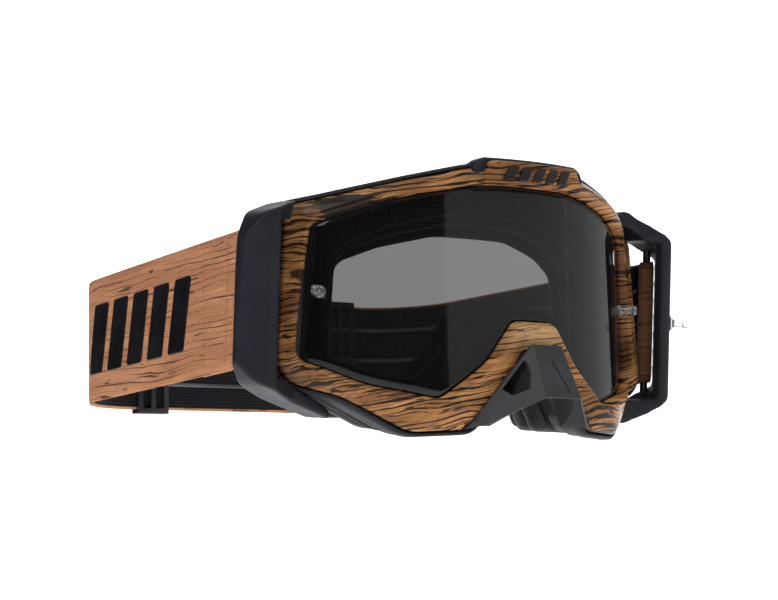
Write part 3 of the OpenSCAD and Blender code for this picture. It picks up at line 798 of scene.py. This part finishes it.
def guard_returns():
    """The guard's sides fold back into the nose gap, one wall behind each crease; they take the darker
    face-frame plastic as painted shade.
    """
    for side, sign in (("left", 1), ("right", -1)):
        front = [np.array(GUARD_TOP) + (0, 1.2, -1.5), np.array(GUARD_POINT) + (-0.7, 0.6, 0.2)]
        back = [np.array((8.6, 3.0, -27.0)), np.array((19.0, 5.0, -49.6))]
        rows, steps = 16, 14
        verts = []
        for thick in (0.0, 1.7):
            for j in range(rows + 1):
                t = j / rows
                a, b = mixed(front[0], front[1], t), mixed(back[0], back[1], t)
                for i in range(steps + 1):
                    s = i / steps
                    p = mixed(a, b, s) + np.array((1.6 * math.sin(math.pi * s), 0, 0))
                    verts.append((sign * (p[0] - thick), p[1], p[2]))
        n = steps + 1
        faces = shell_faces(n, rows)
        foot = [mixed(front[1], back[1], i / steps) for i in range(steps + 1)]
        wing = [wing_foot(0.75 * i / steps) for i in range(steps + 1)]
        first = len(verts)
        verts += [(sign * q[0], q[1] + dy, q[2] + dz) for line, dy in ((foot, 0), (wing, 0.5))
                  for dz in (0.0, 1.3) for q in line]
        for i in range(steps):
            a, b, c, d = (first + k * n + i for k in range(4))
            faces += [(a, a + 1, c + 1, c), (b, d, d + 1, b + 1), (a, b, b + 1, a + 1),
                      (c, c + 1, d + 1, d)]
        faces += [(first + steps, first + n + steps, first + 3 * n + steps, first + 2 * n + steps),
                  (first, first + 2 * n, first + 3 * n, first + n)]
        # Painted shade: these walls of the guard get the darker face-frame plastic instead of the
        # guard's own.
        obj = mesh_piece("nose_guard_return_" + side, verts, faces, "guard_unit",
                         soft_black)
        modifier(obj, "BEVEL", width=0.6 * MM, segments=3, limit_method="ANGLE",
                 angle_limit=math.radians(40))
        modifier(obj, "WEIGHTED_NORMAL", keep_sharp=True)
        apply_modifiers(obj)
        obj.data.shade_smooth()


def guard_front(z):
    (_, y0, z0), (_, y1, z1) = GUARD_TOP, GUARD_POINT
    return y0 + (y1 - y0) * (z - z0) / (z1 - z0)


def cut(obj, line, y0, y1):
    """Cuts a front-view outline through obj, or only 0.5 mm into the guard's front if y1 is None."""
    mesh = bpy.data.meshes.new("cutter")
    n = len(line)
    back = [(x, guard_front(z) + 0.5 if y1 is None else y1, z) for x, z in line]
    verts = [at_mm(x, y0, z) for x, z in line] + [at_mm(*p) for p in back]
    faces = [tuple(range(n)), tuple(range(2 * n - 1, n - 1, -1))]
    faces += [(i, i + n, (i + 1) % n + n, (i + 1) % n) for i in range(n)]
    mesh.from_pydata(verts, [], faces)
    tool = bpy.data.objects.new("cutter", mesh)
    bpy.context.scene.collection.objects.link(tool)
    outward(tool)
    modifier(obj, "BOOLEAN", operation="DIFFERENCE", object=tool, solver="EXACT")
    apply_modifiers(obj)
    bpy.data.objects.remove(tool)


# ------------------------------------------------------------------ strap
def strap_z(y):
    return STRAP_MID - STRAP_DROP * (y - PIN[1]) / (LOOP_Y - PIN[1])


def lean_shift(y, h):
    """How far forwards the strap leans at y, h above its middle."""
    return math.tan(LEAN) * h * max(0.0, min(1.0, (LEAN_END - y) / LEAN_BLEND))


def loop_path(inset=0.0, start=PIN[1]):
    """The strap's loop in plan, from the left side round the back to the right side."""
    edge = PIN[0] + 3.2
    lean = (edge - LOOP_X) / (LOOP_Y - PIN[1])
    corner_r = LOOP_CORNER - inset
    x_at = lambda y: LOOP_X + lean * (LOOP_Y - y) - inset * math.hypot(1, lean)
    y_back = LOOP_Y - inset
    p = np.array((x_at(y_back), y_back))
    bend = arc(p, np.array((x_at(start), start)), p * (-1, 1), corner_r, BEND_STEPS)
    first = np.array((x_at(start), start))
    pts = [first + (bend[0] - first) * k / SIDE_STEPS for k in range(SIDE_STEPS)] + bend
    a, b = bend[-1], bend[-1] * (-1, 1)
    pts += [a + (b - a) * k / BACK_STEPS for k in range(1, BACK_STEPS)]
    pts += [q * (-1, 1) for q in (pts[:SIDE_STEPS] + bend)[::-1]]
    return np.array(pts)


def eye_path():
    """The folded end on the left: from inside, round the pin, to the outside face."""
    r = 2.5
    line = loop_path(2.1, 45.5)[:SIDE_STEPS]
    flap = line[line[:, 1] < FLAP_END][::-1]
    pts = [(PIN[0] + r * math.cos(a), PIN[1] + r * math.sin(a))
           for a in np.linspace(math.radians(125), math.radians(360), 17)]
    return np.vstack([flap, np.array(pts)])


def stepped(near, far, start):
    """A plan path at one inset over the folded ends that steps out to another behind them."""
    a, b = loop_path(near, start), loop_path(far, start)
    t = np.clip((a[:, 1:] - FOLD_END) / FOLD_BLEND, 0, 1)
    return mixed(a, b, t * t * (3 - 2 * t))


def band(name, path, half_w, thick, body, material, replaces=(), z_off=0.0, rows=18):
    """A flat strap along a plan path, upright; its front end leans with the outriggers."""
    n = len(path)
    tangent = np.gradient(path, axis=0)
    normal = np.stack([tangent[:, 1], -tangent[:, 0]], 1)
    normal /= np.linalg.norm(normal, axis=1)[:, None]
    length = np.concatenate([[0], np.cumsum(np.linalg.norm(np.diff(path, axis=0), axis=1))])
    heights = np.linspace(-half_w, half_w, rows)
    section = [(0.5, h) for h in heights] + [(-0.5, h) for h in heights[::-1]]
    verts, flow = [], []
    for i, p in enumerate(path):
        for side, h in section:
            soft = 0.55 if abs(abs(h) - half_w) < 1e-6 else 1.0
            x, y = p + normal[i] * side * thick * soft
            z = strap_z(p[1]) + z_off + h
            y -= lean_shift(p[1], h + z_off)
            verts.append((x, y, z))
            flow.append((length[i], h + z_off, side))
    m = len(section)
    faces = []
    for i in range(n - 1):
        faces += [(i * m + k, i * m + (k + 1) % m, (i + 1) * m + (k + 1) % m, (i + 1) * m + k)
                  for k in range(m)]
    for i in (0, n - 1):
        faces += [(i * m + k, i * m + k + 1, i * m + m - 2 - k, i * m + m - 1 - k)
                  for k in range(rows - 1)]
    return mesh_piece(name, verts, faces, body, material, replaces, flow)


def strap():
    """The printed loop with its folded ends, the lining inside it and three grip beads."""
    outer = loop_path(0.7)
    eye = eye_path()
    whole = np.vstack([eye, outer[2:-2], (eye * (-1, 1))[::-1]])
    band("strap_web_loop", whole, 25, 1.35, "frame", strap_print_wood,
         ("strap_web", "strap_end_left", "strap_end_right"))
    band("strap_lining_loop", stepped(3.12, 1.72, 45.7), 24, 0.55, "frame",
         lining_black, ("strap_lining",))
    for i, z in enumerate((-14, 0, 14)):
        band(f"grip_bead_{i + 1}", stepped(3.62, 2.22, 46.2), 0.8, 0.6, "frame",
             silicone, ("grip_beads",) if i == 0 else (), z_off=z, rows=4)


def print_bars():
    """Plain slanted bars of raised gloss rubber on both sides of the strap."""
    half_wide, half_high, slant, soft = 6.5, 14, 3.5, 1.2
    corners = [(-half_wide - slant, half_high, soft), (half_wide - slant, half_high, soft),
               (half_wide + slant, -half_high, soft), (-half_wide + slant, -half_high, soft)]
    for side in (1, -1):
        for k, y in enumerate((90, 108, 126, 144, 162)):
            loops = []
            for d, lift in ((0, -0.1), (0, 0.28), (-0.15, 0.36), (-0.5, 0.4)):
                pts = full_outline(corners, d, 4, 5)
                loops.append([on_strap(y + u, v, lift, side) for u, v in pts])
            verts, faces = tube(loops, closed_section=False)
            n = len(loops[0])
            for first, lift in ((0, -0.1), (3 * n, 0.4)):
                verts.append(on_strap(y, 0, lift, side))
                faces += [(first + a, first + (a + 1) % n, len(verts) - 1) for a in range(n)]
            name = "strap_bar_{}_{}".format("left" if side > 0 else "right", k + 1)
            crisp(mesh_piece(name, verts, faces, "frame", print_black,
                             ("strap_print",) if side > 0 and k == 0 else ()))


def on_strap(y, h, lift, side):
    """A point on the strap's outside: y back from the lens, h up from its middle."""
    start = 43
    path = loop_path(-lift, start)[:SIDE_STEPS + BEND_STEPS]
    length = np.concatenate([[0], np.cumsum(np.linalg.norm(np.diff(path, axis=0), axis=1))])
    x = np.interp(y - start, length, path[:, 0])
    back = np.interp(y - start, length, path[:, 1])
    return (side * x, back, strap_z(back) + h)


def stitches():
    """Two rows of thread across each folded strap end."""
    verts, faces, pitch = [], [], 3.5
    for side in (1, -1):
        for y in (52, 70):
            for i in range(-6, 7):
                base = len(verts)
                for h, w in ((-1.2, 0.12), (-0.9, 0.34), (0, 0.4), (0.9, 0.34), (1.2, 0.12)):
                    for k in range(6):
                        a = 2 * math.pi * k / 6
                        x, yy, z = on_strap(y + 0.4 + w * math.cos(a), i * pitch + h,
                                            0.02 + w * 0.55 * math.sin(a), side)
                        verts.append((x, yy - lean_shift(y, i * pitch + h), z))
                for j in range(4):
                    faces += [(base + j * 6 + k, base + j * 6 + (k + 1) % 6,
                               base + (j + 1) * 6 + (k + 1) % 6, base + (j + 1) * 6 + k)
                              for k in range(6)]
                faces += [tuple(base + k for k in range(6)), tuple(base + 24 + k for k in range(6))]
    mesh_piece("strap_stitches", verts, faces, "frame", thread,
               ("strap_stitching",))


# ------------------------------------------------------------------ studio
def studio():
    azimuth, elevation, roll = map(math.radians, (-36.923, -6.221, -0.998))
    distance, right_mm, up_mm = 0.8, -29.007, 2.068
    back = Vector((math.sin(azimuth) * math.cos(elevation),
                   -math.cos(azimuth) * math.cos(elevation), math.sin(elevation)))
    right = Vector((math.cos(azimuth), math.sin(azimuth), 0))
    up = right.cross(-back)
    turned_right = right * math.cos(roll) + up * math.sin(roll)
    turned_up = turned_right.cross(-back)
    camera = bpy.data.objects.new("camera", bpy.data.cameras.new("camera"))
    camera.data.sensor_width = 36
    camera.data.lens = 95.16
    camera.data.clip_start, camera.data.clip_end = 0.01, 50
    place = Matrix((turned_right, turned_up, back)).transposed().to_4x4()
    target = at_mm(0, 40, 0) + right * right_mm * MM + up * up_mm * MM
    place.translation = target + back * distance
    camera.matrix_world = place
    bpy.context.scene.collection.objects.link(camera)
    bpy.context.scene.camera = camera
    backdrop()
    lights()


def backdrop():
    """A pale floor that curves up behind the object."""
    f = Finish("studio_white", Roughness=0.9)
    speck = f.noise(f.place, 6.0, 2.0)
    white = f.mix(speck, (0.93, 0.93, 0.93), (0.95, 0.95, 0.95))
    f.tree.links.new(white, f.bsdf.inputs["Base Color"])
    f.tree.links.new(white, f.bsdf.inputs["Emission Color"])
    f.bsdf.inputs["Emission Strength"].default_value = 1.0
    floor, radius, reach_back, half = -0.42, 0.8, 1.4, 1.3
    line = [(-3.0, floor), (-1.0, floor), (0.4, floor), (reach_back, floor)]
    line += [(reach_back + radius * math.sin(a), floor + radius * (1 - math.cos(a)))
             for a in np.linspace(0.15, math.pi / 2, 9)]
    line += [(reach_back + radius, 1.6), (reach_back + radius, 3.2)]
    az = math.radians(-37)
    verts = [(s * math.cos(az) - d * math.sin(az), s * math.sin(az) + d * math.cos(az), z)
             for s in (-half, 0, half) for d, z in line]
    n = len(line)
    faces = [(c * n + i, c * n + i + 1, (c + 1) * n + i + 1, (c + 1) * n + i)
             for c in range(2) for i in range(n - 1)]
    mesh = bpy.data.meshes.new("backdrop")
    mesh.from_pydata(verts, [], faces)
    mesh.materials.append(f.mat)
    mesh.shade_smooth()
    obj = bpy.data.objects.new("backdrop", mesh)
    bpy.context.scene.collection.objects.link(obj)


def softbox(name, azimuth, elevation, distance, width, height, power):
    a, e = math.radians(azimuth), math.radians(elevation)
    back = Vector((math.sin(a) * math.cos(e), -math.cos(a) * math.cos(e), math.sin(e)))
    data = bpy.data.lights.new(name, "AREA")
    data.shape, data.size, data.size_y = "RECTANGLE", width, height
    data.energy = power
    obj = bpy.data.objects.new(name, data)
    obj.location = back * distance + Vector((0, 0.03, 0))
    obj.rotation_mode = "QUATERNION"
    obj.rotation_quaternion = back.to_track_quat("Z", "Y")
    obj.visible_camera = False
    bpy.context.scene.collection.objects.link(obj)


def lights():
    """Soft boxes; the panels beyond the lens are what shows in it and through it."""
    world = bpy.data.worlds.new("studio")
    world.use_nodes = True
    sky = world.node_tree.nodes["Background"]
    sky.inputs[0].default_value = (1, 1, 1, 1)
    seen = world.node_tree.nodes.new("ShaderNodeLightPath").outputs["Is Camera Ray"]
    level = world.node_tree.nodes.new("ShaderNodeMapRange")      # pale to look at, dim as a light
    level.inputs["To Min"].default_value, level.inputs["To Max"].default_value = 0.03, 1.0
    world.node_tree.links.new(seen, level.inputs["Value"])
    world.node_tree.links.new(level.outputs[0], sky.inputs[1])
    bpy.context.scene.world = world
    bpy.context.scene.view_settings.view_transform = "Standard"
    softbox("overhead", -10, 62, 1.5, 1.6, 1.1, 15)
    softbox("left_key", -80, 34, 1.5, 1.0, 0.7, 8)
    softbox("low_front", -30, -38, 1.4, 1.2, 0.5, 5)
    softbox("panel_near", 30, 4, 1.3, 1.69, 1.7, 5.5)
    softbox("panel_far", 96, 4, 1.3, 1.69, 1.7, 5.5)


# ------------------------------------------------------------------ the object
def carried_over():
    """CAD nodes that are shown as they are."""
    for node, material in (("lens_tabs", tab_black), ("guard_pegs", guard_black),
                           ("strap_pin_left", steel), ("strap_pin_right", steel)):
        obj = frame["nodes"][node]
        obj.data.materials.clear()
        obj.data.materials.append(material)
        obj.data.shade_smooth()


studio()
carried_over()
lens_shell()
posts()
bezel_shell()
rim_shell()
ledge_shade_sheet()
brow()
for side in ("left", "right"):
    softened("outrigger_" + side, "outrigger_shell_" + side, black, 0.55, 16)
    softened("adjuster_" + side, "adjuster_shell_" + side, adjuster_black, 0.35, 5)
softened("face_frame", "face_frame_shell", soft_black, 0.5, 4)
softened("top_vent_foam", "top_vent_pads", vent_grey, 0.4, 3)
softened("lower_vent_foam", "lower_vent_pads", vent_grey, 0.4, 3)
foam_ring("foam_base_ring", 20, 25, 0.6, 5.5, foam_grey, "foam_base")
foam_ring("foam_middle_ring", 25, 33, 1.6, 2.5, foam_grey, "foam_middle", 0.8)
foam_ring("fleece_ring", 33, 36.4, 3.0, -1.5, fleece, "face_fleece", 0.3)
guard()
guard_returns()
strap()
print_bars()
stitches()
